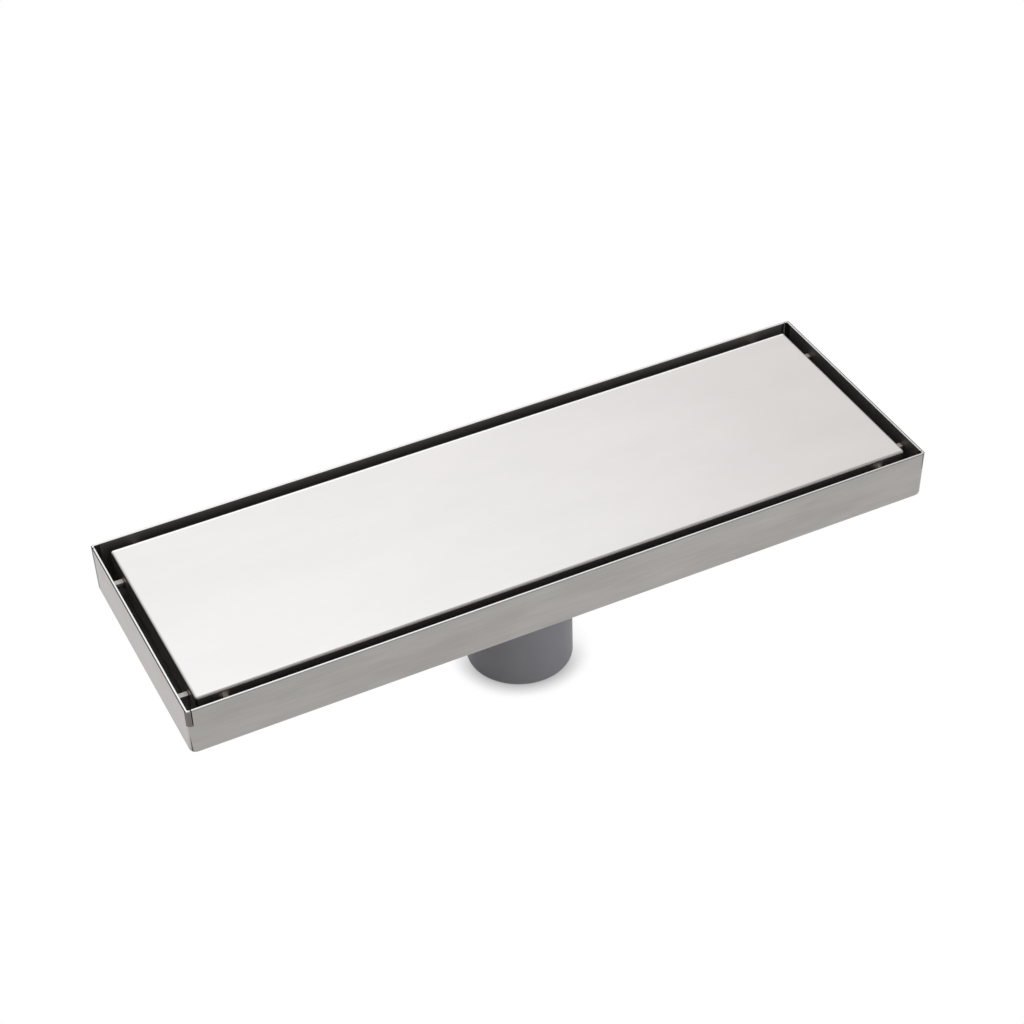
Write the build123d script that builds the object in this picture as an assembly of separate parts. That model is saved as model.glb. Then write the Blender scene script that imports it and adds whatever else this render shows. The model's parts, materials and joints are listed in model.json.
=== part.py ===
from build123d import *
import os

# Linear floor drain: a folded steel tray with a drop-in cover, a trapped outlet and a plastic spigot.
# Millimetres, +Z up, X along the drain, Y from its front to its back.
# The origin is the middle of the spigot's open end, on the surface that the drain stands on.

# Tray, folded from one sheet; bends and corners are inside radii, and the corners widen towards the floor
tray_length = 300.0
tray_width = 100.0
tray_height = 20.5
tray_sheet = 1.0
tray_bend = 0.9
rim_corner = 0.2
floor_corner = 1.8

# Corner seams, open from the rim downwards and ground smooth below
seam_depth = 7.0
seam_inset = 2.1
seam_width = 0.4
seam_groove = 0.3

# Cover, an upturned shallow pan that leaves an even slot to the tray's walls
slot_width = 4.6
cover_drop = 0.5
cover_depth = 9.5
cover_sheet = 1.0
cover_bend = 0.2
relief_width = 0.8

# Spacer tongues, slit out of the cover's edges and folded outwards
tongue_drop = 4.8
tongue_width = 2.2
tongue_bend = 0.4
tongue_slit = 0.4
slit_rise = 0.8
tongue_clearance = 0.2
side_tongue_inset = 11.0
end_tongue_front_inset = 8.5
end_tongue_back_inset = 13.5

# Cover rests, hat-section strips on the tray's floor
rest_sheet = 1.0
rest_bend = 1.8
rest_width = 8.0
rest_top = 14.0
rest_foot = 9.0
rest_inset = 35.0

# Spigot and the pieces that clamp it to the tray
spigot_drop = 55.5
tail_radius = 21.0
tail_wall = 2.0
tail_round = 0.5
thread_height = 1.5
thread_length = 16.0
flange_radius = 33.0
flange_thickness = 2.5
flange_round = 0.8
flange_clearance = 1.5
recess_bend = 0.6
hole_clearance = 0.5
gasket_thickness = 1.5
washer_thickness = 1.0
nut_height = 9.0
nut_wall = 6.0
nut_chamfer = 1.5
thread_clearance = 0.1

# Odour trap, a dip tube standing in a cup of water
seat_depth = 1.5
seat_land = 3.6
seat_clearance = 0.2
neck_length = 9.0
neck_wall = 2.7
neck_clearance = 0.3
funnel_length = 7.0
trap_wall = 1.3
overflow_gap = 3.0
rise_gap = 3.6
seal_depth = 15.0
cup_rim_gap = 5.0
cup_floor_gap = 6.0
cup_round = 2.0
sleeve_length = 9.0
sleeve_lift = 2.5
sleeve_clearance = 0.05
vane_count = 3
vane_thickness = 1.3
ring_section = 1.8
ring_clearance = 0.05
ring_side_clearance = 0.3

# Hair strainer, a pressed disc with a short skirt
strainer_radius = 30.5
strainer_height = 2.5
strainer_sheet = 0.8
strainer_bend = 0.6
strainer_hole_radius = 2.5
strainer_pitch = 9.0
strainer_rings = 2
skirt_notch_count = 12
skirt_notch_width = 4.0
skirt_notch_height = 1.4

# Length that a cutting tool runs past a face
overrun = 1.0

# Levels
underside_z = spigot_drop
floor_z = underside_z + tray_sheet
rim_z = underside_z + tray_height
cover_top_z = rim_z - cover_drop
cover_edge_z = cover_top_z - cover_depth
tongue_top_z = rim_z - tongue_drop
recess_depth = gasket_thickness + flange_thickness
recess_floor_z = floor_z - recess_depth
recess_underside_z = underside_z - recess_depth
flange_low_z = recess_floor_z + gasket_thickness
washer_low_z = recess_underside_z - washer_thickness
nut_low_z = washer_low_z - nut_height
thread_low_z = flange_low_z - thread_length
seat_z = floor_z - seat_depth
neck_low_z = seat_z - neck_length
funnel_low_z = neck_low_z - funnel_length
cup_rim_z = funnel_low_z - cup_rim_gap
dip_end_z = cup_rim_z - seal_depth
cup_floor_z = dip_end_z - cup_floor_gap
cup_low_z = cup_floor_z - trap_wall

# Plan sizes and radii
inner_length = tray_length - 2 * tray_sheet
inner_width = tray_width - 2 * tray_sheet
cover_length = inner_length - 2 * slot_width
cover_width = inner_width - 2 * slot_width
bore_radius = tail_radius - tail_wall
thread_radius = tail_radius + thread_height
outlet_radius = thread_radius + hole_clearance
recess_radius = flange_radius + flange_clearance
seat_radius = bore_radius + seat_land
neck_radius = bore_radius - neck_clearance
mouth_radius = neck_radius - neck_wall
cup_radius = bore_radius - overflow_gap
cup_bore = cup_radius - trap_wall
dip_radius = cup_bore - rise_gap
dip_bore = dip_radius - trap_wall
ring_outer = bore_radius - ring_clearance
ring_middle = ring_outer - ring_section / 2
groove_radius = ring_outer - ring_section - ring_clearance
ring_z = seat_z - neck_length / 2


def standing_box(length, width, height):
    return Box(length, width, height, align=(Align.CENTER, Align.CENTER, Align.MIN))


def standing_cylinder(radius, height):
    return Cylinder(radius, height, align=(Align.CENTER, Align.CENTER, Align.MIN))


def ring(outer_radius, inner_radius, low_z, height):
    disc = Circle(outer_radius) - Circle(inner_radius)
    return Pos(0, 0, low_z) * extrude(disc, amount=height)


def turned(*points):
    """Solid turned about Z from an outline of (radius, height) points."""
    return revolve(Plane.XZ * make_face(Polyline(*points, close=True)), axis=Axis.Z)


def round_edges(solid, radius, at_z, by):
    """Round the circular edges of one radius that lie at one height."""

    def wanted(edge):
        return abs(edge.radius - radius) < 1e-3 and abs(edge.center().Z - at_z) < 1e-3

    return fillet(solid.edges().filter_by(GeomType.CIRCLE).filter_by(wanted), by)


def corners(length, width):
    return [(side_x * length / 2, side_y * width / 2) for side_x in (-1, 1) for side_y in (-1, 1)]


def rounded_block(length, width, height, radius):
    """Block with rounded uprights and a rounded lower rim."""
    block = standing_box(length, width, height)
    low_edges = block.faces().sort_by(Axis.Z)[0].edges()
    return fillet(block.edges().filter_by(Axis.Z) + low_edges, radius)


def tapered_block(length, width, height, bend, low_corner, high_corner):
    """Block with a rounded lower rim, whose rounded uprights narrow on the way up."""
    low = RectangleRounded(length, width, low_corner)
    high = Pos(0, 0, height) * RectangleRounded(length, width, high_corner)
    block = loft([low, high], ruled=True)
    return fillet(block.faces().sort_by(Axis.Z)[0].edges(), bend)


def tray_pan():
    """The tray's open pan, with its floor's underside at zero."""
    outside = tapered_block(
        tray_length, tray_width, tray_height,
        tray_bend + tray_sheet, floor_corner + tray_sheet, rim_corner + tray_sheet,
    )
    inside = tapered_block(
        inner_length, inner_width, tray_height - tray_sheet, tray_bend, floor_corner, rim_corner
    )
    return outside - Pos(0, 0, tray_sheet) * inside


def corner_seam():
    """Open slit along X from a corner at zero, and a shallow groove on the wall along Y."""
    height = seam_depth + overrun
    slit = standing_box(seam_width, 4 * tray_sheet, height)
    groove = standing_box(2 * seam_groove, seam_width, height)
    return Pos(seam_inset, 0, 0) * slit + Pos(0, rim_corner + tray_sheet, 0) * groove


def make_tray():
    pan = Pos(0, 0, underside_z) * tray_pan()
    boss = standing_cylinder(recess_radius + tray_sheet, recess_depth + tray_sheet / 2)
    boss = round_edges(boss, recess_radius + tray_sheet, 0, recess_bend + tray_sheet)
    pocket = standing_cylinder(recess_radius, recess_depth + overrun)
    pocket = round_edges(pocket, recess_radius, 0, recess_bend)
    outlet = standing_cylinder(outlet_radius, recess_depth + 2 * tray_sheet)
    tray = pan + Pos(0, 0, recess_underside_z) * boss
    tray -= Pos(0, 0, recess_floor_z) * pocket
    tray -= Pos(0, 0, recess_underside_z - tray_sheet) * outlet
    tray = round_edges(tray, recess_radius, floor_z, recess_bend)
    seam = corner_seam()
    for turn, (x, y) in zip((0, 270, 90, 180), corners(tray_length, tray_width)):
        tray -= Pos(x, y, rim_z - seam_depth) * Rot(0, 0, turn) * seam
    return tray


def tongue_places():
    """Places of the spacer tongues on the cover's edges, each facing outwards."""
    side_x = cover_length / 2 - side_tongue_inset
    front_y = end_tongue_front_inset - cover_width / 2
    back_y = cover_width / 2 - end_tongue_back_inset
    places = []
    for x in (-side_x, side_x):
        places.append(Pos(x, -cover_width / 2, tongue_top_z) * Rot(0, 0, 180))
        places.append(Pos(x, cover_width / 2, tongue_top_z))
    for y in (front_y, back_y):
        places.append(Pos(-cover_length / 2, y, tongue_top_z) * Rot(0, 0, 90))
        places.append(Pos(cover_length / 2, y, tongue_top_z) * Rot(0, 0, -90))
    return places


def spacer_tongue():
    """Tongue folded out of an edge: Y leads outwards from the edge's face, Z is zero at its upper face."""
    reach = slot_width - tongue_clearance
    bend_centre = (tongue_bend, tongue_bend)
    outline = [
        Line((-cover_sheet, tongue_bend), (0, tongue_bend)),
        CenterArc(bend_centre, tongue_bend, 180, 90),
        Line((tongue_bend, 0), (reach, 0)),
        Line((reach, 0), (reach, -cover_sheet)),
        Line((reach, -cover_sheet), (tongue_bend, -cover_sheet)),
        CenterArc(bend_centre, tongue_bend + cover_sheet, 180, 90),
    ]
    return extrude(Plane.YZ * make_face(outline), amount=tongue_width / 2, both=True)


def tongue_cuts():
    """Window that the tongue is folded out of, with a slit past its bend on either side."""
    low_z = cover_edge_z - tongue_top_z - overrun
    window = standing_box(tongue_width, 3 * cover_sheet, tongue_bend - low_z)
    slit = standing_box(tongue_slit, 3 * cover_sheet, tongue_bend + slit_rise - low_z)
    slit_x = (tongue_width + tongue_slit) / 2
    return Pos(0, 0, low_z) * (window + Pos(-slit_x, 0, 0) * slit + Pos(slit_x, 0, 0) * slit)


def make_cover_panel():
    outer_bend = cover_bend + cover_sheet
    inside_length = cover_length - 2 * cover_sheet
    inside_width = cover_width - 2 * cover_sheet
    pan = rounded_block(cover_length, cover_width, cover_depth, outer_bend)
    pan -= Pos(0, 0, cover_sheet) * rounded_block(inside_length, inside_width, cover_depth, cover_bend)
    cover = Pos(0, 0, cover_top_z) * Rot(180, 0, 0) * pan
    relief_height = cover_depth - outer_bend
    relief = Rot(0, 0, 45) * standing_box(relief_width, 4 * outer_bend, relief_height + overrun)
    for x, y in corners(cover_length, cover_width):
        turn = Rot(0, 0, 90) if x * y > 0 else Rot(0, 0, 0)
        cover -= Pos(x, y, cover_edge_z - overrun) * turn * relief
    cuts = tongue_cuts()
    tongue = spacer_tongue()
    for place in tongue_places():
        cover = cover - place * cuts + place * tongue
    return cover


def make_cover_rest():
    """Hat-section strip standing on zero, its profile along X."""
    height = cover_edge_z - floor_z
    half_top = rest_top / 2
    toe = half_top + rest_foot
    skin = FilletPolyline(
        (-toe, rest_sheet),
        (-half_top, rest_sheet),
        (-half_top, height),
        (half_top, height),
        (half_top, rest_sheet),
        (toe, rest_sheet),
        radius=rest_bend,
    )
    section = make_face(skin.wire().offset_2d(rest_sheet, side=Side.RIGHT))
    return extrude(Plane.XZ * section, amount=rest_width / 2, both=True)


def make_outlet_spigot():
    spigot = turned(
        (bore_radius, 0),
        (tail_radius, 0),
        (tail_radius, thread_low_z - thread_height),
        (thread_radius, thread_low_z),
        (thread_radius, flange_low_z),
        (flange_radius, flange_low_z),
        (flange_radius, floor_z),
        (seat_radius, floor_z),
        (seat_radius, seat_z),
        (bore_radius, seat_z),
    )
    spigot = round_edges(spigot, tail_radius, 0, tail_round)
    return round_edges(spigot, flange_radius, floor_z, flange_round)


def make_lock_nut():
    bore = thread_radius + thread_clearance
    half_flats = bore + nut_wall
    blank = extrude(RegularPolygon(half_flats, 6, major_radius=False), amount=nut_height)
    envelope = standing_cylinder(half_flats + nut_chamfer, nut_height)
    envelope = chamfer(envelope.edges().filter_by(GeomType.CIRCLE), nut_chamfer)
    nut = (blank & envelope) - standing_cylinder(bore, nut_height)
    return Pos(0, 0, nut_low_z) * nut


def make_trap_insert():
    groove_half = ring_section / 2 + ring_side_clearance
    return turned(
        (mouth_radius, floor_z),
        (seat_radius - seat_clearance, floor_z),
        (seat_radius - seat_clearance, seat_z),
        (neck_radius, seat_z),
        (neck_radius, ring_z + groove_half),
        (groove_radius, ring_z + groove_half),
        (groove_radius, ring_z - groove_half),
        (neck_radius, ring_z - groove_half),
        (neck_radius, neck_low_z),
        (dip_radius, funnel_low_z),
        (dip_radius, dip_end_z),
        (dip_bore, dip_end_z),
        (dip_bore, funnel_low_z),
        (mouth_radius, neck_low_z),
    )


def make_trap_cup():
    cup = turned(
        (0, cup_low_z),
        (cup_radius, cup_low_z),
        (cup_radius, cup_rim_z),
        (cup_bore, cup_rim_z),
        (cup_bore, cup_floor_z),
        (0, cup_floor_z),
    )
    cup = round_edges(cup, cup_radius, cup_low_z, cup_round)
    sleeve_bore = dip_radius + sleeve_clearance
    sleeve_radius = sleeve_bore + trap_wall
    sleeve_z = dip_end_z + sleeve_lift
    cup += ring(sleeve_radius, sleeve_bore, sleeve_z, sleeve_length)
    vane_low = sleeve_radius - trap_wall / 2
    vane_reach = cup_radius - trap_wall / 2 - vane_low
    vane = standing_box(vane_reach, vane_thickness, sleeve_length)
    for spot in PolarLocations(vane_low + vane_reach / 2, vane_count):
        cup += Pos(0, 0, sleeve_z) * spot * vane
    return cup


def make_hair_strainer():
    shell = standing_cylinder(strainer_radius, strainer_height)
    shell = round_edges(shell, strainer_radius, strainer_height, strainer_bend + strainer_sheet)
    hollow_radius = strainer_radius - strainer_sheet
    hollow_height = strainer_height - strainer_sheet
    hollow = standing_cylinder(hollow_radius, hollow_height)
    hollow = round_edges(hollow, hollow_radius, hollow_height, strainer_bend)
    strainer = shell - hollow
    hole = standing_cylinder(strainer_hole_radius, strainer_height)
    strainer -= hole
    for step in range(1, strainer_rings + 1):
        for spot in PolarLocations(step * strainer_pitch, 6 * step):
            strainer -= spot * hole
    notch = standing_box(4 * strainer_sheet, skirt_notch_width, skirt_notch_height)
    for spot in PolarLocations(strainer_radius, skirt_notch_count):
        strainer -= spot * notch
    return Pos(0, 0, floor_z) * strainer


pieces = {
    "tray": make_tray(),
    "cover_panel": make_cover_panel(),
    "outlet_spigot": make_outlet_spigot(),
    "flange_gasket": ring(flange_radius, outlet_radius, recess_floor_z, gasket_thickness),
    "slip_washer": ring(
        thread_radius + thread_clearance + nut_wall, outlet_radius, washer_low_z, washer_thickness
    ),
    "lock_nut": make_lock_nut(),
    "trap_insert": make_trap_insert(),
    "trap_o_ring": Pos(0, 0, ring_z) * Torus(ring_middle, ring_section / 2),
    "trap_cup": make_trap_cup(),
    "hair_strainer": make_hair_strainer(),
}

rest = make_cover_rest()
rest_x = cover_length / 2 - rest_inset
rest_y = cover_width / 2 - rest_width / 2
for row_name, y in (("front", -rest_y), ("back", rest_y)):
    for end_name, x in (("left", -rest_x), ("right", rest_x)):
        pieces[f"cover_rest_{row_name}_{end_name}"] = Pos(x, y, floor_z) * rest

os.makedirs("parts", exist_ok=True)
for name, piece in pieces.items():
    piece.label = name
    export_step(piece, f"parts/{name}.step")
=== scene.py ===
import json
import math

import bmesh
import bpy
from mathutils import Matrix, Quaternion, Vector


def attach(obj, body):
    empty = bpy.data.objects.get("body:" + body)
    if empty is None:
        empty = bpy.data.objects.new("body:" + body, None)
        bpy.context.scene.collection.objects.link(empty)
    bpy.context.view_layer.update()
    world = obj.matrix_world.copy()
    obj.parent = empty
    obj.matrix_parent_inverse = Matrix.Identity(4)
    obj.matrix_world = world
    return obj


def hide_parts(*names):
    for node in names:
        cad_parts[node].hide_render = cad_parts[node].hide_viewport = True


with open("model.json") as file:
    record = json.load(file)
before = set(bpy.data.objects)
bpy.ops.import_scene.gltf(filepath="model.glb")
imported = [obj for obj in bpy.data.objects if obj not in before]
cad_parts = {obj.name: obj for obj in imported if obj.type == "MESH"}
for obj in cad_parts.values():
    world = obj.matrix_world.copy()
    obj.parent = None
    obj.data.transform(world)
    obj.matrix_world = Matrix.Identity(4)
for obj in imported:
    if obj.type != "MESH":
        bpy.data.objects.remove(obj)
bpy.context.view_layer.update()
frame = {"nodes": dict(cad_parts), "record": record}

mm = 0.001

# Sizes of the folded tray, in millimetres
tray_length = 300.0
tray_width = 100.0
tray_sheet = 1.0
tray_bend = 1.9
rim_corner = 1.2
floor_corner = 2.8
rim_level = 76.0
rim_round = 0.32
tray_underside = 55.5
recess_underside = 51.5
recess_radius = 35.5
recess_bend = 1.6
outlet_radius = 23.0
seam_depth = 7.0
seam_inset = 2.1
seam_width = 0.4
seam_groove = 0.3
seam_reach = 2.0
corner_spread = (floor_corner - rim_corner) / (rim_level - tray_underside)

# Sizes of the drop-in cover
cover_length = 288.8
cover_width = 88.8
cover_top = 75.5
cover_edge = 66.0
cover_sheet = 1.0
cover_bend = 1.2
relief_width = 0.8
relief_reach = 3.0

# Sizes of the cover's spacer tongues and of the windows they are folded out of
tongue_top = 71.2
tongue_width = 2.2
tongue_reach = 4.4
tongue_bend = 0.4
tongue_heel = 0.2
heel_round = 0.9
tip_round = 0.15
tongue_slit = 0.4
slit_rise = 0.8
window_play = 0.1
window_back = 1.5
side_tongue_inset = 11.0
end_tongue_front_inset = 8.5
end_tongue_back_inset = 13.5

# Sizes of the outlet spigot
tail_radius = 21.0
tail_round = 0.5
bore_radius = 19.0
bore_round = 0.4
flange_radius = 33.0
flange_low = 54.0
flange_low_round = 0.3
flange_top = 56.5
flange_top_round = 0.8
seat_radius = 22.6
seat_level = 55.0
turned_segments = 128

# Sizes of the spigot's thread, its ridge as shares of the pitch and of the ridge's foot
thread_core = 21.4
thread_crest = 22.5
thread_low = 37.4
thread_step = 0.4
thread_sunk = 0.4
thread_pitch = 3.0
thread_turns = 5
ridge_foot = 0.8
ridge_crest = 0.25

# Margins for picking, cutting and smoothing
pick_slack = 0.02
corner_slack = 0.1
weld_gap = 0.001
cutter_excess = 1.0
flat_normal = 0.99
sharp_angle = math.radians(50)
smooth_angle = math.radians(35)

# Range of grain that the brushed steel's shades are spread over, and the white of paper and light
least_polish, most_polish = 0.3, 0.7
white = (1, 1, 1, 1)


def only(piece):
    """Make this the one picked object."""
    bpy.ops.object.select_all(action="DESELECT")
    piece.select_set(True)
    bpy.context.view_layer.objects.active = piece


def edit(piece):
    only(piece)
    bpy.ops.object.mode_set(mode="EDIT")
    bpy.ops.mesh.select_all(action="DESELECT")


def edit_all(piece):
    """Edit a piece with all of it picked."""
    edit(piece)
    bpy.ops.mesh.select_all(action="SELECT")


def done():
    bpy.ops.object.mode_set(mode="OBJECT")


def newest(name):
    """The piece just added, under its own name."""
    piece = bpy.context.object
    piece.name = piece.data.name = name
    return piece


def spot(part):
    """Middle of a corner, edge or face, in millimetres."""
    if isinstance(part, bmesh.types.BMVert):
        return part.co / mm
    if isinstance(part, bmesh.types.BMEdge):
        return (part.verts[0].co + part.verts[1].co) / (2 * mm)
    return part.calc_center_median() / mm


def pick(piece, kind, wanted):
    """Pick the corners, edges or faces that the test wants, in edit mode."""
    bpy.ops.mesh.select_mode(type=kind)
    bpy.ops.mesh.select_all(action="DESELECT")
    mesh = bmesh.from_edit_mesh(piece.data)
    for part in {"VERT": mesh.verts, "EDGE": mesh.edges, "FACE": mesh.faces}[kind]:
        if wanted(part):
            part.select_set(True)
    mesh.select_flush_mode()
    bmesh.update_edit_mesh(piece.data)


def near(value, level):
    return abs(value - level) < pick_slack


def at_level(level):
    """Edges that lie at one height."""
    return lambda edge: all(near(corner.co.z / mm, level) for corner in edge.verts)


def on_ring(radius, level):
    """Edges of one ring round the Z axis."""
    def wanted(edge):
        return at_level(level)(edge) and all(
            near(corner.co.xy.length / mm, radius) for corner in edge.verts
        )
    return wanted


def in_corner(corner_x, corner_y):
    """Points of the tray's rim that belong to one corner."""
    reach = floor_corner + corner_slack

    def wanted(point):
        here = spot(point)
        close = abs(here.x - corner_x) < reach and abs(here.y - corner_y) < reach
        return close and near(here.z, rim_level)
    return wanted


def is_sharp(edge):
    return len(edge.link_faces) == 2 and edge.calc_face_angle() > sharp_angle


def round_picked(radius, steps):
    bpy.ops.mesh.bevel(
        offset=radius * mm, segments=steps, profile=0.5, affect="EDGES", clamp_overlap=True
    )


def apply(piece, kind, **settings):
    """Add a modifier to a piece and apply it."""
    only(piece)
    modifier = piece.modifiers.new(kind.lower(), kind)
    for name, value in settings.items():
        setattr(modifier, name, value)
    bpy.ops.object.modifier_apply(modifier=modifier.name)


def block(name, low, high):
    """A block between two corners in millimetres."""
    low, high = Vector(low) * mm, Vector(high) * mm
    bpy.ops.object.select_all(action="DESELECT")
    bpy.ops.mesh.primitive_cube_add(size=1.0, location=(low + high) / 2, scale=high - low)
    bpy.ops.object.transform_apply(location=True, rotation=True, scale=True)
    return newest(name)


def put(piece, degrees, x, y):
    """Turn a piece about the Z axis, counted from +X to +Y, then shift it in millimetres."""
    edit_all(piece)
    bpy.ops.transform.rotate(
        value=-math.radians(degrees), orient_axis="Z", center_override=(0, 0, 0)
    )
    bpy.ops.transform.translate(value=(x * mm, y * mm, 0))
    done()


def copy(piece):
    only(piece)
    bpy.ops.object.duplicate(linked=False)
    return bpy.context.object


def merge(pieces):
    """Join several pieces into the first."""
    if len(pieces) == 1:
        return pieces[0]
    bpy.ops.object.select_all(action="DESELECT")
    for piece in pieces:
        piece.select_set(True)
    bpy.context.view_layer.objects.active = pieces[0]
    bpy.ops.object.join()
    return pieces[0]


def cut(piece, cutters):
    """Cut the cutters out of a piece."""
    cutter = merge(cutters)
    apply(piece, "BOOLEAN", operation="DIFFERENCE", solver="EXACT", object=cutter)
    bpy.data.objects.remove(cutter)


def face_outwards(piece):
    edit_all(piece)
    bpy.ops.mesh.remove_doubles(threshold=weld_gap * mm)
    bpy.ops.mesh.normals_make_consistent(inside=False)
    done()


def thicken(piece, sheet):
    """Give a skin the thickness of its sheet, inwards."""
    apply(
        piece, "SOLIDIFY", thickness=sheet * mm, offset=-1.0,
        use_even_offset=True, use_quality_normals=True,
    )


def smooth(piece):
    only(piece)
    bpy.ops.object.shade_smooth_by_angle(angle=smooth_angle)
    apply(piece, "WEIGHTED_NORMAL", keep_sharp=True, weight=80)


def draw_rings(rings):
    """Draw a picked ring out to the next radius and height, again and again."""
    for (radius, level), (next_radius, next_level) in zip(rings, rings[1:]):
        move = {"value": (0, 0, (next_level - level) * mm)}
        bpy.ops.mesh.extrude_region_move(TRANSFORM_OT_translate=move)
        scale = next_radius / radius
        bpy.ops.transform.resize(
            value=(scale, scale, 1), center_override=(0, 0, next_level * mm)
        )


def shape_pan():
    """The tray's outer skin: a box without a lid, its corners widening downwards."""
    half_length, half_width = tray_length / 2, tray_width / 2
    low = (-half_length, -half_width, tray_underside)
    tray = block("folded_tray", low, (half_length, half_width, rim_level))
    edit(tray)
    pick(tray, "FACE", lambda face: near(spot(face).z, rim_level))
    bpy.ops.mesh.delete(type="ONLY_FACE")
    pick(tray, "EDGE", lambda edge: near(spot(edge).z, (rim_level + tray_underside) / 2))
    round_picked(floor_corner, steps=6)
    closeness = rim_corner / floor_corner
    for corner_x in (-half_length, half_length):
        for corner_y in (-half_width, half_width):
            pick(tray, "VERT", in_corner(corner_x, corner_y))
            centre = (corner_x * mm, corner_y * mm, rim_level * mm)
            bpy.ops.transform.resize(value=(closeness, closeness, 1), center_override=centre)
    pick(tray, "EDGE", at_level(tray_underside))
    round_picked(tray_bend, steps=5)
    return tray


def press_recess(tray):
    """The round recess for the spigot's flange, with the outlet hole in it."""
    def is_floor(face):
        return near(spot(face).z, tray_underside) and face.normal.z < -flat_normal

    def is_floor_border(edge):
        return at_level(tray_underside)(edge) and len(edge.link_faces) < 2

    pick(tray, "FACE", is_floor)
    bpy.ops.mesh.delete(type="ONLY_FACE")
    start_radius = recess_radius + 2 * recess_bend
    bpy.ops.mesh.primitive_circle_add(
        vertices=turned_segments, radius=start_radius * mm, location=(0, 0, tray_underside * mm)
    )
    pick(tray, "EDGE", is_floor_border)
    bpy.ops.mesh.fill(use_beauty=True)
    rings = [(start_radius, tray_underside), (recess_radius, tray_underside)]
    rings += [(recess_radius, recess_underside), (outlet_radius, recess_underside)]
    pick(tray, "EDGE", on_ring(*rings[0]))
    draw_rings(rings)
    pick(tray, "EDGE", on_ring(recess_radius, tray_underside))
    round_picked(recess_bend - tray_sheet, steps=3)
    pick(tray, "EDGE", on_ring(recess_radius, recess_underside))
    round_picked(recess_bend, steps=4)


def seam_cutters():
    """Slit and groove of each corner, one wall's end lapped round the next all the way about."""
    low, high = rim_level - seam_depth, rim_level + cutter_excess
    half = seam_width / 2
    slit_ends = (seam_inset - half, -seam_reach, low), (seam_inset + half, seam_reach, high)
    groove_ends = (-seam_groove, rim_corner - half, low), (seam_groove, rim_corner + half, high)
    cutters = []
    for side_x, side_y, degrees in ((-1, -1, 0), (1, -1, 90), (1, 1, 180), (-1, 1, 270)):
        for cutter in (block("slit", *slit_ends), block("groove", *groove_ends)):
            put(cutter, degrees, side_x * tray_length / 2, side_y * tray_width / 2)
            cutters.append(cutter)
    return cutters


def make_tray():
    tray = shape_pan()
    press_recess(tray)
    done()
    face_outwards(tray)
    thicken(tray, tray_sheet)
    cut(tray, seam_cutters())
    edit(tray)
    pick(tray, "EDGE", lambda edge: at_level(rim_level)(edge) and is_sharp(edge))
    round_picked(rim_round, steps=3)
    done()
    smooth(tray)
    return tray


def spacer_tongue():
    """One tongue of the cover: it leads along +Y from the edge's face, which is at zero."""
    half = tongue_width / 2
    low = tongue_top - cover_sheet
    tongue = block("tongue", (-half, -cover_sheet, low), (half, tongue_reach, tongue_top))

    def along_edge(y, z):
        return lambda edge: near(spot(edge).y, y) and near(spot(edge).z, z)

    edit_all(tongue)
    bpy.ops.mesh.bisect(plane_co=(0, 0, 0), plane_no=(0, 1, 0))
    pick(tongue, "FACE", lambda face: face.normal.z > flat_normal and spot(face).y < 0)
    rise = {"value": (0, 0, (tongue_bend + tongue_heel) * mm)}
    bpy.ops.mesh.extrude_region_move(TRANSFORM_OT_translate=rise)
    pick(tongue, "EDGE", along_edge(0, tongue_top))
    round_picked(tongue_bend, steps=4)
    pick(tongue, "EDGE", along_edge(-cover_sheet, low))
    round_picked(heel_round, steps=5)
    pick(tongue, "EDGE", lambda edge: near(spot(edge).y, tongue_reach) and is_sharp(edge))
    round_picked(tip_round, steps=2)
    done()
    return tongue


def tongue_cutters():
    """Window of a tongue and the slit on either side of it, about the same zero as the tongue."""
    half = tongue_width / 2
    low = cover_edge - cutter_excess
    root = tongue_top + tongue_bend
    window_half = half + window_play
    window_low = (-window_half, -window_back, low)
    cutters = [block("window", window_low, (window_half, cutter_excess, root))]
    for side in (-half - tongue_slit, half):
        slit_high = (side + tongue_slit, cutter_excess, root + slit_rise)
        cutters.append(block("slit", (side, -window_back, low), slit_high))
    return cutters


def tongue_places():
    """Turn and place of each tongue on the cover's edges."""
    half_length, half_width = cover_length / 2, cover_width / 2
    side_x = half_length - side_tongue_inset
    places = []
    for x in (-side_x, side_x):
        places += [(180, x, -half_width), (0, x, half_width)]
    for y in (end_tongue_front_inset - half_width, half_width - end_tongue_back_inset):
        places += [(90, -half_length, y), (-90, half_length, y)]
    return places


def corner_reliefs():
    """Cutters for the slots that part the cover's down-turned edges at the corners."""
    half = relief_width / 2
    low = (-half, -relief_reach, cover_edge - cutter_excess)
    high = (half, relief_reach, cover_top - cover_bend)
    reliefs = []
    for x in (-cover_length / 2, cover_length / 2):
        for y in (-cover_width / 2, cover_width / 2):
            relief = block("relief", low, high)
            put(relief, 45 if x * y < 0 else -45, x, y)
            reliefs.append(relief)
    return reliefs


def make_cover():
    half_length, half_width = cover_length / 2, cover_width / 2
    low = (-half_length, -half_width, cover_edge)
    cover = block("drop_in_cover", low, (half_length, half_width, cover_top))
    edit(cover)
    pick(cover, "FACE", lambda face: near(spot(face).z, cover_edge))
    bpy.ops.mesh.delete(type="ONLY_FACE")
    pick(cover, "EDGE", lambda edge: not at_level(cover_edge)(edge))
    round_picked(cover_bend, steps=6)
    done()
    face_outwards(cover)
    thicken(cover, cover_sheet)
    cut(cover, corner_reliefs())
    for degrees, x, y in tongue_places():
        for cutter in tongue_cutters():
            put(cutter, degrees, x, y)
            cut(cover, [cutter])
    first = spacer_tongue()
    tongues = []
    for degrees, x, y in tongue_places():
        tongue = copy(first)
        put(tongue, degrees, x, y)
        tongues.append(tongue)
    bpy.data.objects.remove(first)
    merge([cover] + tongues)
    smooth(cover)
    return cover


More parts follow.
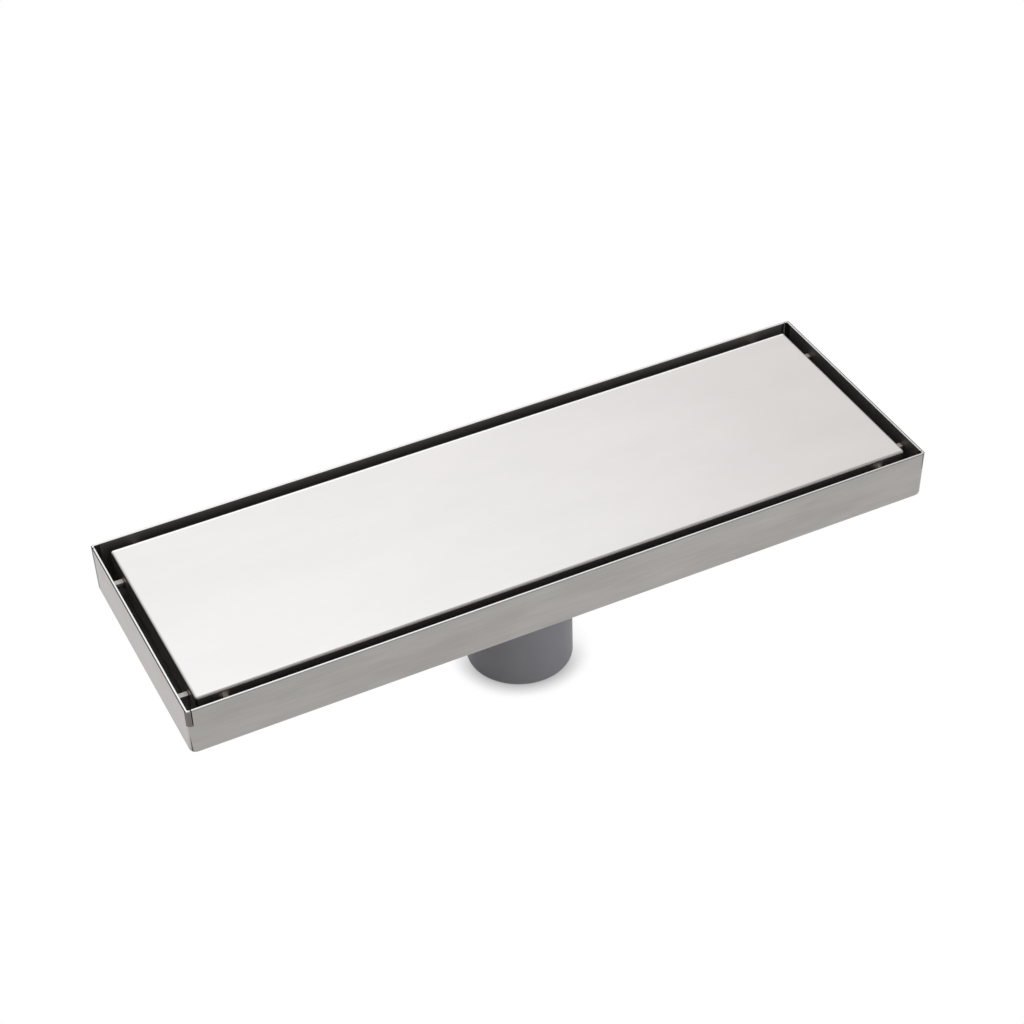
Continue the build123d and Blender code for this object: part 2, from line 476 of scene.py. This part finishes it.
def make_thread():
    """A ridge of thread wound round the spigot's core."""
    bpy.ops.object.select_all(action="DESELECT")
    bpy.ops.mesh.primitive_plane_add(size=1.0)
    bpy.ops.object.transform_apply(location=True, rotation=True, scale=True)
    thread = newest("thread")
    ridge = ((thread_crest - thread_core + thread_sunk) * mm, 1, ridge_foot * thread_pitch * mm)
    middle = (thread_core - thread_sunk + thread_crest) / 2
    start_level = thread_low + thread_pitch / 2
    edit_all(thread)
    bpy.ops.transform.rotate(
        value=math.radians(90), orient_axis="X", center_override=(0, 0, 0)
    )
    bpy.ops.transform.resize(value=ridge, center_override=(0, 0, 0))
    bpy.ops.transform.translate(value=(middle * mm, 0, start_level * mm))
    pick(thread, "VERT", lambda point: spot(point).x > middle)
    bpy.ops.transform.resize(
        value=(1, 1, ridge_crest), center_override=(0, 0, start_level * mm)
    )
    bpy.ops.mesh.select_all(action="SELECT")
    bpy.ops.mesh.delete(type="ONLY_FACE")
    done()
    apply(
        thread, "SCREW", axis="Z", angle=math.tau, screw_offset=thread_pitch * mm,
        iterations=thread_turns, steps=turned_segments, render_steps=turned_segments,
        use_merge_vertices=True, merge_threshold=weld_gap * mm,
    )
    edit(thread)
    pick(thread, "EDGE", lambda edge: edge.is_boundary)
    bpy.ops.mesh.edge_face_add()
    done()
    face_outwards(thread)
    return thread


def make_spigot():
    tail_top = thread_low - thread_step
    rings = [(bore_radius, 0), (tail_radius, 0), (tail_radius, tail_top), (thread_core, thread_low)]
    rings += [(thread_core, flange_low), (flange_radius, flange_low), (flange_radius, flange_top)]
    rings += [(seat_radius, flange_top), (seat_radius, seat_level), (bore_radius, seat_level)]
    bpy.ops.object.select_all(action="DESELECT")
    bpy.ops.mesh.primitive_circle_add(vertices=turned_segments, radius=bore_radius * mm)
    spigot = newest("threaded_spigot")
    edit_all(spigot)
    draw_rings(rings)
    pick(spigot, "EDGE", lambda edge: edge.is_boundary)
    bpy.ops.mesh.bridge_edge_loops()
    for radius, level, edge_round in (
        (tail_radius, 0, tail_round),
        (bore_radius, 0, bore_round),
        (flange_radius, flange_top, flange_top_round),
        (flange_radius, flange_low, flange_low_round),
    ):
        pick(spigot, "EDGE", on_ring(radius, level))
        round_picked(edge_round, steps=4)
    done()
    face_outwards(spigot)
    merge([spigot, make_thread()])
    smooth(spigot)
    return spigot


class Tone:
    """One shader value. Arithmetic on it adds Math nodes to its material."""

    def __init__(self, tree, socket=None):
        self.tree = tree
        self.socket = socket

    def node(self, kind, settings=None, sockets=None, output=0):
        """Add any other node: its settings first, then the values or links of its sockets."""
        node = self.tree.nodes.new(kind)
        for name, value in (settings or {}).items():
            setattr(node, name, value)
        for name, value in (sockets or {}).items():
            if isinstance(value, Tone):
                self.tree.links.new(value.socket, node.inputs[name])
            else:
                node.inputs[name].default_value = value
        return Tone(self.tree, node.outputs[output] if node.outputs else None)

    def twin(self, output):
        """Another output of the same node."""
        return Tone(self.tree, self.socket.node.outputs[output])

    def maths(self, operation, *values):
        return self.node("ShaderNodeMath", {"operation": operation}, dict(enumerate(values)))

    def __add__(self, other):
        return self.maths("ADD", self, other)

    def __radd__(self, other):
        return self.maths("ADD", other, self)

    def __sub__(self, other):
        return self.maths("SUBTRACT", self, other)

    def __rsub__(self, other):
        return self.maths("SUBTRACT", other, self)

    def __mul__(self, other):
        return self.maths("MULTIPLY", self, other)

    def __rmul__(self, other):
        return self.maths("MULTIPLY", other, self)

    def __lt__(self, other):
        return self.maths("LESS_THAN", self, other)

    def __gt__(self, other):
        return self.maths("GREATER_THAN", self, other)

    def __abs__(self):
        return self.maths("ABSOLUTE", self)


def new_finish(name):
    """An empty material, its shader and a starting point for its values."""
    finish = bpy.data.materials.new(name)
    finish.use_nodes = True
    shader = finish.node_tree.nodes["Principled BSDF"]
    return finish, shader, Tone(finish.node_tree)


def bare_tree(owner):
    """A starting point in a material or world without any nodes."""
    owner.use_nodes = True
    owner.node_tree.nodes.clear()
    return Tone(owner.node_tree)


def feed(shader, **tones):
    """Link values to the shader's sockets, or set plain numbers on them."""
    for name, tone in tones.items():
        socket = shader.inputs[name.replace("_", " ")]
        if isinstance(tone, Tone):
            tone.tree.links.new(tone.socket, socket)
        else:
            socket.default_value = tone


def place(start, scale=(1, 1, 1)):
    """Object coordinates in millimetres, stretched by scale."""
    sockets = {
        "Vector": start.node("ShaderNodeTexCoord", output="Object"),
        "Scale": tuple(factor / mm for factor in scale),
    }
    return start.node("ShaderNodeMapping", sockets=sockets)


def axes(start):
    """Places along the drain, across it and up, in millimetres."""
    along = start.node("ShaderNodeSeparateXYZ", sockets={"Vector": place(start)}, output="X")
    return along, along.twin("Y"), along.twin("Z")


def grain(start, scale, size, detail=3.0):
    """Noise of that size in millimetres, drawn out along the axes with a small scale."""
    sockets = {
        "Vector": place(start, scale), "Scale": 1 / size, "Detail": detail, "Roughness": 0.55
    }
    return start.node("ShaderNodeTexNoise", sockets=sockets)


def stretched(start, value, low, high, to_low=0.0, to_high=1.0):
    """The value's span from low to high, drawn smoothly over another span."""
    sockets = {
        "Value": value, "From Min": low, "From Max": high, "To Min": to_low, "To Max": to_high
    }
    return start.node("ShaderNodeMapRange", {"interpolation_type": "SMOOTHSTEP"}, sockets)


def raised(start, height, depth):
    """A bump of that depth in millimetres."""
    sockets = {"Height": height, "Distance": depth * mm, "Strength": 1.0}
    return start.node("ShaderNodeBump", sockets=sockets)


def blend(start, amount, first, second):
    """One shade where the amount is zero, the other where it is one."""
    first_socket, second_socket, result = 6, 7, 2
    sockets = {"Factor": amount}
    for socket, shade in ((first_socket, first), (second_socket, second)):
        sockets[socket] = shade if isinstance(shade, Tone) else (*shade, 1)
    return start.node("ShaderNodeMix", {"data_type": "RGBA"}, sockets, output=result)


def satin_tray_steel():
    """Brushed sheet, with painted light and shade: paler end walls, painted shade on the bends, in
    the nooks and on the inner walls, a painted highlight on the cut rim and a painted dark
    reflection just under the rim.
    """
    wall = (0.349, 0.335, 0.323), (0.425, 0.409, 0.395)
    end_wall_painted_light = (0.432, 0.407, 0.398), (0.513, 0.484, 0.472)
    inner_wall_painted_shade = (0.25, 0.229, 0.22), (0.32, 0.294, 0.281)
    bend_painted_shade = (0.13, 0.124, 0.12)
    lap_shade = (0.17, 0.16, 0.155)
    nook_painted_shade = (0.1, 0.09, 0.085)
    rim_painted_highlight = (0.78, 0.752, 0.725)
    front_rim_painted_reflection = (0.3, 0.285, 0.276)
    end_rim_painted_reflection = (0.1, 0.095, 0.092)
    outer_depth, inner_depth = 0.4, 0.6
    bend_line, bend_fade, bend_share = 2.4, 0.7, 0.6
    low_bend_top, low_bend_foot, low_bend_share = 0.8, 0.2, 0.5
    nook_reach, shade_under_rim, cut_depth, rim_reflection_width = 3.4, 0.25, 0.04, 0.4
    roughness, polish_roughness, inner_roughness = 0.30, 0.14, 0.2
    streak_share, brush_depth = 0.5, 0.01

    finish, shader, start = new_finish("satin_tray_steel")
    along, across, up = axes(start)
    to_end = tray_length / 2 - abs(along)
    to_side = tray_width / 2 - abs(across)
    streaks = grain(start, scale=(0.02, 1, 1), size=0.35)
    clouds = grain(start, scale=(0.25, 1, 1), size=9.0, detail=2.0)
    polish = streaks * streak_share + clouds * (1 - streak_share)
    spread = stretched(start, polish, least_polish, most_polish)
    # Painted light: the end walls get a paler colour than the side walls, for the light they catch.
    on_end = to_end < outer_depth
    outer = blend(start, on_end, blend(start, spread, *wall), blend(start, spread, *end_wall_painted_light))

    # Painted shade: the end walls are darkened along their back corner bends and, half as much,
    # along the bottom bend, for the dark that the bends reflect.
    bend_radius = rim_corner + (rim_level - up) * corner_spread
    off_bend = to_side - bend_share * bend_radius
    back_bend = stretched(start, off_bend, bend_line + bend_fade, bend_line - bend_fade)
    low_level = tray_underside + tray_bend
    low_bend = stretched(start, up, low_level + low_bend_top, low_level - low_bend_foot)
    bend = start.maths("MAXIMUM", (across > 0) * back_bend, low_bend_share * low_bend)
    outer = blend(start, on_end * bend, outer, bend_painted_shade)
    lapped = (along * across > 0) * (to_end < seam_inset) * (to_side < rim_corner)
    outer = blend(start, lapped * (up > rim_level - seam_depth), outer, lap_shade)

    # Painted shade: the inner walls are darker than the outer ones, and darkest in the nooks of the
    # inner corners, for the shade inside the tray.
    nook = (to_end < nook_reach) * (to_side < nook_reach)
    shaded_inner = blend(start, nook, blend(start, streaks, *inner_wall_painted_shade), nook_painted_shade)
    inside = (to_end > inner_depth) * (to_side > inner_depth)
    inside = inside * (up > tray_underside + tray_sheet / 2) * (up < rim_level - shade_under_rim)
    colour = blend(start, inside, outer, shaded_inner)

    # Painted highlight: the cut top of the rim is made bright.
    colour = blend(start, up > rim_level - cut_depth, colour, rim_painted_highlight)
    # Painted reflection: a dark line round the rounded outer edge of the rim, on the front wall
    # and, darker, on the end walls, for the dark that the edge reflects.
    at_rim = up > rim_level - rim_round
    front_rim_reflection = at_rim * (to_side < rim_reflection_width) * (across < 0)
    colour = blend(start, front_rim_reflection, colour, front_rim_painted_reflection)
    colour = blend(start, at_rim * (to_end < rim_reflection_width), colour, end_rim_painted_reflection)
    rough = roughness + polish_roughness * polish + inner_roughness * inside
    feed(shader, Base_Color=colour, Metallic=1.0, Roughness=rough)
    feed(shader, Normal=raised(start, streaks, brush_depth))
    return finish


def fine_cover_steel():
    """Finely brushed sheet, with painted shade on the bends and greyer down-turned edges as painted
    shade, a painted highlight on the back bend and a painted highlight on the edges over the side
    tongues.
    """
    face = (0.75, 0.706, 0.683), (0.795, 0.748, 0.724)
    edge = (0.46, 0.431, 0.414), (0.58, 0.545, 0.525)
    bend_painted_shade = (0.2, 0.187, 0.18)
    back_line_painted_highlight = (0.98, 0.95, 0.92)
    tongue_painted_highlight = (0.9, 0.84, 0.79)
    tongue_shade = (0.68, 0.635, 0.6)
    bend_from, bend_full = 0.1, 0.6
    edge_from, edge_full = 0.9, 1.3
    line_width, line_depth = 1.7, 0.5
    tongue_from = 0.3
    roughness, polish_roughness, tongue_roughness = 0.36, 0.08, 0.22
    streak_share, brush_depth = 0.4, 0.004

    finish, shader, start = new_finish("fine_cover_steel")
    along, across, up = axes(start)
    streaks = grain(start, scale=(0.03, 1, 1), size=0.25)
    clouds = grain(start, scale=(0.4, 1, 1), size=25.0, detail=2.0)
    polish = streaks * streak_share + clouds * (1 - streak_share)
    colour = blend(start, stretched(start, polish, least_polish, most_polish), *face)
    # Painted shade: a dark line along the cover's top bends.
    bend = stretched(start, up, cover_top - bend_from, cover_top - bend_full)
    colour = blend(start, bend, colour, bend_painted_shade)
    # Painted highlight: a bright line on the back bend.
    back_highlight_line = (across > cover_width / 2 - line_width) * (up > cover_top - line_depth)
    colour = blend(start, back_highlight_line, colour, back_line_painted_highlight)

    # Painted highlight: a bright band on the front and back down-turned edges over each side
    # tongue.
    off_tongue = abs(abs(along) - (cover_length / 2 - side_tongue_inset))
    tongue_highlight_band = (off_tongue < tongue_width / 2) * (abs(across) > cover_width / 2 - cover_sheet)
    edges = blend(start, tongue_highlight_band, blend(start, streaks, *edge), tongue_painted_highlight)
    # Painted shade: below the bend the down-turned edges take a greyer colour than the top of the
    # same sheet.
    down_edge = stretched(start, up, cover_top - edge_from, cover_top - edge_full)
    colour = blend(start, down_edge, colour, edges)

    past_end, past_side = abs(along) - cover_length / 2, abs(across) - cover_width / 2
    tongue = start.maths("MAXIMUM", past_end, past_side) > tongue_from
    colour = blend(start, tongue, colour, tongue_shade)
    rough = roughness + polish_roughness * polish + tongue_roughness * tongue
    feed(shader, Base_Color=colour, Metallic=1.0, Roughness=rough)
    feed(shader, Normal=raised(start, streaks, brush_depth))
    return finish


def plain_steel(name, dark, light):
    roughness, streak_roughness, brush_depth = 0.3, 0.15, 0.01
    finish, shader, start = new_finish(name)
    streaks = grain(start, scale=(0.1, 1, 1), size=0.6)
    colour = blend(start, streaks, dark, light)
    feed(shader, Base_Color=colour, Metallic=1.0)
    feed(shader, Roughness=roughness + streak_roughness * streaks)
    feed(shader, Normal=raised(start, streaks, brush_depth))
    return finish


def moulded_plastic(name, dark, light, roughness, shine=0.5):
    speck_share, speck_roughness, speck_depth = 0.3, 0.12, 0.02
    finish, shader, start = new_finish(name)
    specks = grain(start, scale=(1, 1, 1), size=0.5, detail=4.0)
    clouds = grain(start, scale=(1, 1, 1), size=14.0)
    mottle = specks * speck_share + clouds * (1 - speck_share)
    colour = blend(start, mottle, dark, light)
    feed(shader, Base_Color=colour, Specular_IOR_Level=shine)
    feed(shader, Roughness=roughness + speck_roughness * specks)
    feed(shader, Normal=raised(start, specks, speck_depth))
    return finish


def make_floor():
    """White paper with a soft contact shadow, fuller towards the front left."""
    paper_size = 6.0
    paper_gap = 0.1
    paper_grey = (0.8, 0.8, 0.8, 1)
    shadow_reach = 9.0
    shelter_share, shelter_gain = 0.66, 0.4
    lean_x, lean_y = -0.43, -0.9
    faint_from, full_from, faint_share = -8.0, 16.0, 0.2
    bpy.ops.object.select_all(action="DESELECT")
    bpy.ops.mesh.primitive_plane_add(size=paper_size, location=(0, 0, -paper_gap * mm))
    floor = bpy.context.object
    floor.name = "white_floor"
    paper = bpy.data.materials.new("white_paper")
    start = bare_tree(paper)
    camera_ray = start.node("ShaderNodeLightPath", output="Is Camera Ray")
    seen = start.maths("MAXIMUM", camera_ray, camera_ray.twin("Is Glossy Ray"))
    seen = start.maths("MAXIMUM", seen, camera_ray.twin("Is Transmission Ray"))
    shelter = start.node(
        "ShaderNodeAmbientOcclusion", {"samples": 16}, {"Distance": shadow_reach * mm}, "AO"
    )
    lit = start.maths("MINIMUM", shelter * (shelter_share + shelter_gain * shelter), 1.0)
    along, across = axes(start)[:2]
    lean = lean_x * along + lean_y * across
    fullness = stretched(start, lean, faint_from, full_from, faint_share, 1.0)
    strength = 1 - (1 - lit) * fullness
    light = start.node("ShaderNodeEmission", sockets={"Color": white, "Strength": strength})
    matt = start.node("ShaderNodeBsdfDiffuse", sockets={"Color": paper_grey})
    mix = start.node("ShaderNodeMixShader", sockets={0: seen, 1: matt, 2: light})
    start.node("ShaderNodeOutputMaterial", sockets={"Surface": mix})
    floor.data.materials.append(paper)


def make_world():
    """Soft light from behind and above that falls off to both sides, on a white ground."""
    rise_share, left_fall = 0.4, 1.2
    dim_from, bright_from = -0.8, 0.9
    dim_strength, bright_strength = 0.29, 0.93
    world = bpy.data.worlds.new("soft_studio")
    bpy.context.scene.world = world
    start = bare_tree(world)
    way = start.node("ShaderNodeTexCoord", output="Generated")
    side = start.node("ShaderNodeSeparateXYZ", sockets={"Vector": way}, output="X")
    right = start.maths("MAXIMUM", side, 0.0)
    left = start.maths("MAXIMUM", -1.0 * side, 0.0)
    lean = side.twin("Y") + rise_share * side.twin("Z") - right - left_fall * left
    soft = stretched(start, lean, dim_from, bright_from, dim_strength, bright_strength)
    camera_ray = start.node("ShaderNodeLightPath", output="Is Camera Ray")
    strength = soft + camera_ray * (1 - soft)
    light = start.node("ShaderNodeBackground", sockets={"Color": white, "Strength": strength})
    start.node("ShaderNodeOutputWorld", sockets={"Surface": light})


def softbox(name, stand, aim, size, power, shade):
    """A rectangular area lamp, in metres and watts."""
    bpy.ops.object.select_all(action="DESELECT")
    bpy.ops.object.light_add(type="AREA", location=stand)
    lamp = bpy.context.object
    lamp.name = name
    lamp.data.shape = "RECTANGLE"
    lamp.data.size, lamp.data.size_y = size
    lamp.data.energy = power
    lamp.data.color = shade
    lamp.rotation_euler = (Vector(aim) - Vector(stand)).to_track_quat("-Z", "Y").to_euler()


def make_camera():
    """The photo's viewpoint, above the drain's front and to its left."""
    aim = Vector((-4.379, -6.559, 76.0)) * mm
    distance = 894.23 * mm
    swing, rise, roll = math.radians(-25.244), math.radians(39.641), math.radians(-1.943)
    level = math.cos(rise)
    back = Vector((math.sin(swing) * level, -math.cos(swing) * level, math.sin(rise)))
    bpy.ops.object.camera_add(location=aim + distance * back)
    camera = bpy.context.object
    camera.name = "photo_camera"
    facing = (-back).to_track_quat("-Z", "Y") @ Quaternion((0, 0, 1), roll)
    camera.rotation_euler = facing.to_euler()
    camera.data.sensor_width = 36.0
    camera.data.lens = 84.514
    camera.data.clip_start = 0.01
    bpy.context.scene.camera = camera


def place_piece(piece, node, slot):
    """Dress a new piece and let it stand for its solid."""
    piece.data.materials.clear()
    piece.data.materials.append(finishes[slot])
    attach(piece, "root")
    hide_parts(node)


finishes = {
    "tray_steel": satin_tray_steel(),
    "cover_steel": fine_cover_steel(),
    "rest_steel": plain_steel(
        "mill_strip_steel", (0.42, 0.41, 0.40), (0.55, 0.54, 0.53)
    ),
    "strainer_steel": plain_steel(
        "pressed_strainer_steel", (0.5, 0.49, 0.48), (0.62, 0.61, 0.6)
    ),
    "spigot_plastic": moulded_plastic(
        "grey_spigot_plastic", (0.252, 0.249, 0.269), (0.294, 0.291, 0.313),
        roughness=0.42, shine=0.15,
    ),
    "trap_plastic": moulded_plastic(
        "pale_trap_plastic", (0.64, 0.64, 0.62), (0.72, 0.72, 0.70), roughness=0.4
    ),
    "washer_plastic": moulded_plastic(
        "natural_washer_plastic", (0.7, 0.7, 0.68), (0.78, 0.78, 0.76), roughness=0.35
    ),
    "seal_rubber": moulded_plastic(
        "black_seal_rubber", (0.02, 0.02, 0.02), (0.035, 0.035, 0.035), roughness=0.6
    ),
}

slot_of = {row["node"]: row["material_slot"] for row in frame["record"]["subparts"]}
for name, node in frame["nodes"].items():
    for slot in node.material_slots:
        slot.material = finishes[slot_of[name]]

place_piece(make_tray(), "tray", "tray_steel")
place_piece(make_cover(), "cover_panel", "cover_steel")
place_piece(make_spigot(), "outlet_spigot", "spigot_plastic")

make_floor()
make_world()
softbox(
    "back_softbox", stand=(0.3, 1.2, 1.95), aim=(0, 0, 0.07),
    size=(1.2, 1.2), power=4.6, shade=(0.78, 0.91, 1.0),
)
softbox(
    "front_fill", stand=(0.95, -1.55, 0.62), aim=(0, 0, 0.04),
    size=(3.4, 1.2), power=15.5, shade=(1.0, 1.0, 1.0),
)
make_camera()

bpy.context.scene.view_settings.view_transform = "Standard"
